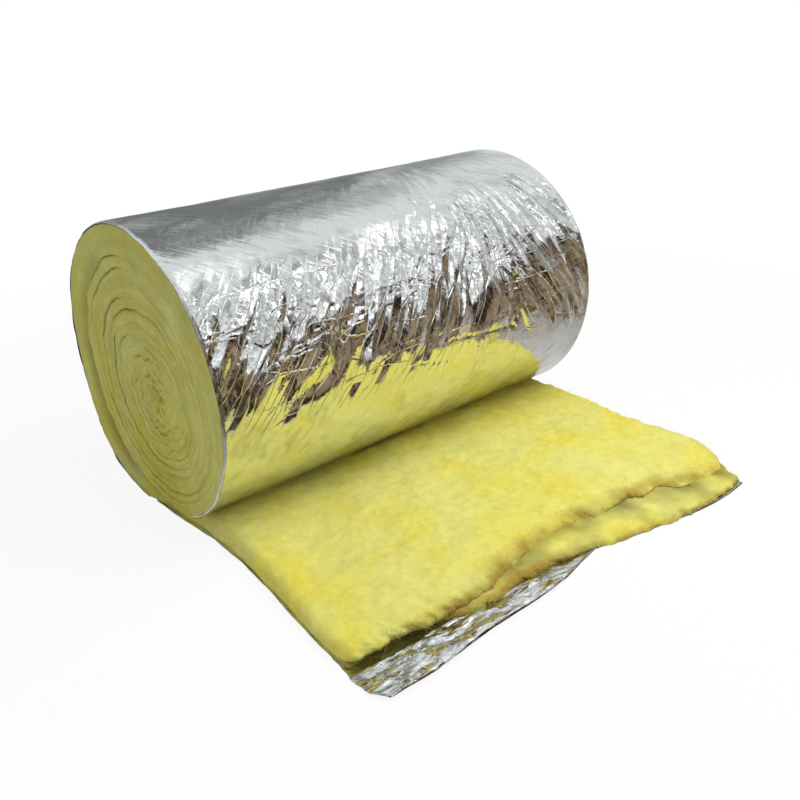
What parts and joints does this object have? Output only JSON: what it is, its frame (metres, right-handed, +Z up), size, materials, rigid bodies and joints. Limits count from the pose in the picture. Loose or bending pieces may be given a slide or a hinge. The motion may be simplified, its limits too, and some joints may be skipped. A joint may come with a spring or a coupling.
{
  "type": "insulation roll",
  "caption": "Foil-faced glass-wool blanket wound into a roll with its foil outwards, its free end lying flat on the floor with a torn wool edge and a folded foil flap.",
  "frame": {"origin": "on the floor under the middle of the roll, half way along its width", "axes": "X along the roll, -Y the way the free end runs out over the floor, +Z up"},
  "size_m": [1.2404, 1.339, 0.7257],
  "materials": {
    "wool": "matt fibrous glass wool",
    "foil": "bright crinkled foil laminate"
  },
  "bodies": {
    "root": {"wool_blanket": "wool", "foil_facing": "foil"}
  },
  "joints": []
}
